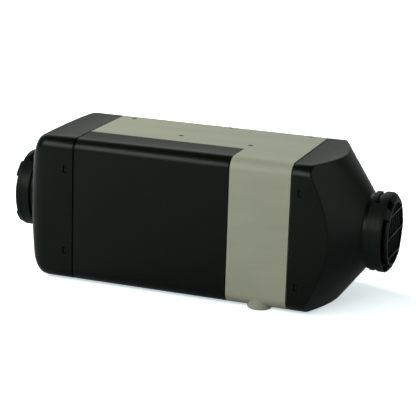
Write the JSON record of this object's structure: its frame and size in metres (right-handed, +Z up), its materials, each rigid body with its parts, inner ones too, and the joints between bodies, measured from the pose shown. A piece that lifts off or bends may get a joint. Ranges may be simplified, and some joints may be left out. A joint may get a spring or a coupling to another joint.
{
  "type": "diesel air heater",
  "caption": "Box-shaped fuel-burning air heater: rounded inlet cap, tapered outlet hood, guarded round duct collars, pull-off control cover, rear mounting flange with pipes.",
  "frame": {"origin": "centre of the rectangle of four mounting studs, on the outer face of the mounting gasket at the back", "axes": "+X along the air axis from the air inlet to the air outlet, +Y out of the back along the studs and pipes, +Z up; the control cover faces -Y"},
  "size_m": [0.4029, 0.188, 0.1524],
  "materials": {
    "beige_plastic": "pale grey-green moulded plastic, satin",
    "black_plastic": "black moulded plastic with a fine grain, satin edges",
    "guard_plastic": "black moulded plastic, slightly smoother",
    "frame_plastic": "dark glass-filled plastic",
    "fan_plastic": "dark moulded plastic",
    "zinc_steel": "zinc plated fastener",
    "dark_screw": "blackened screw",
    "shaft_steel": "ground bearing steel",
    "magnet": "grey sintered magnet",
    "lamination": "stacked electrical steel sheet",
    "copper": "enamelled copper winding",
    "motor_metal": "pressed steel, plated",
    "cast_aluminium": "die-cast aluminium, blasted",
    "impeller_plastic": "light alloy, machined",
    "heat_steel": "heat-resisting steel sheet",
    "wick_mat": "metal fibre mat",
    "plug_steel": "turned steel",
    "gasket_fibre": "pressed fibre gasket",
    "pipe_aluminium": "drawn tube",
    "unit_plastic": "black moulded plastic",
    "plate_steel": "zinc plated sheet",
    "connector_plastic": "natural nylon",
    "lead_rubber": "flexible sleeve",
    "grommet_rubber": "soft rubber"
  },
  "bodies": {
    "heater": {"jacket_shell": "beige_plastic", "jacket_back": "beige_plastic", "intake_cap": "black_plastic", "outlet_hood": "black_plastic", "intake_guard": "guard_plastic", "outlet_guard": "guard_plastic", "jacket_screws": "dark_screw", "fan_frame": "frame_plastic", "motor_carrier": "frame_plastic", "motor_screws": "zinc_steel", "motor_housing": "motor_metal", "motor_end_plate": "motor_metal", "bearing_outer_rings": "shaft_steel", "bearing_balls": "shaft_steel", "stator_core": "lamination", "stator_windings": "copper", "blower_housing": "cast_aluminium", "blower_cover": "cast_aluminium", "blower_gasket": "gasket_fibre", "burner": "heat_steel", "wick": "wick_mat", "glow_plug": "plug_steel", "flame_tube": "heat_steel", "exchanger_gasket": "gasket_fibre", "heat_exchanger": "cast_aluminium", "clamp_bolts": "zinc_steel", "overheat_sensor": "plug_steel", "sensor_clip": "zinc_steel", "base_flange": "cast_aluminium", "base_gasket": "gasket_fibre", "mounting_studs": "zinc_steel", "exhaust_pipe": "heat_steel", "combustion_air_pipe": "pipe_aluminium", "fuel_pipe": "plug_steel", "control_plate": "plate_steel", "control_unit": "unit_plastic", "control_screws": "zinc_steel", "main_connector": "connector_plastic", "signal_connector": "connector_plastic", "harness_lead": "lead_rubber", "motor_lead": "lead_rubber", "glow_plug_lead": "lead_rubber", "sensor_lead": "lead_rubber", "harness_grommet": "grommet_rubber"},
    "rotor": {"fan_wheel": "fan_plastic", "fan_nut": "zinc_steel", "motor_shaft": "shaft_steel", "bearing_inner_rings": "shaft_steel", "rotor_magnet": "magnet", "blower_wheel": "impeller_plastic", "shaft_clip": "zinc_steel"},
    "cover": {"control_cover": "black_plastic"}
  },
  "joints": [
    {"name": "rotor_spin", "type": "hinge", "parent": "heater", "child": "rotor", "pos_m": [-0.085, -0.074, 0], "axis": [1, 0, 0], "continuous": true},
    {"name": "cover_pull", "type": "slide", "parent": "heater", "child": "cover", "axis": [0, -1, 0], "range_m": [0, 0.06]}
  ]
}
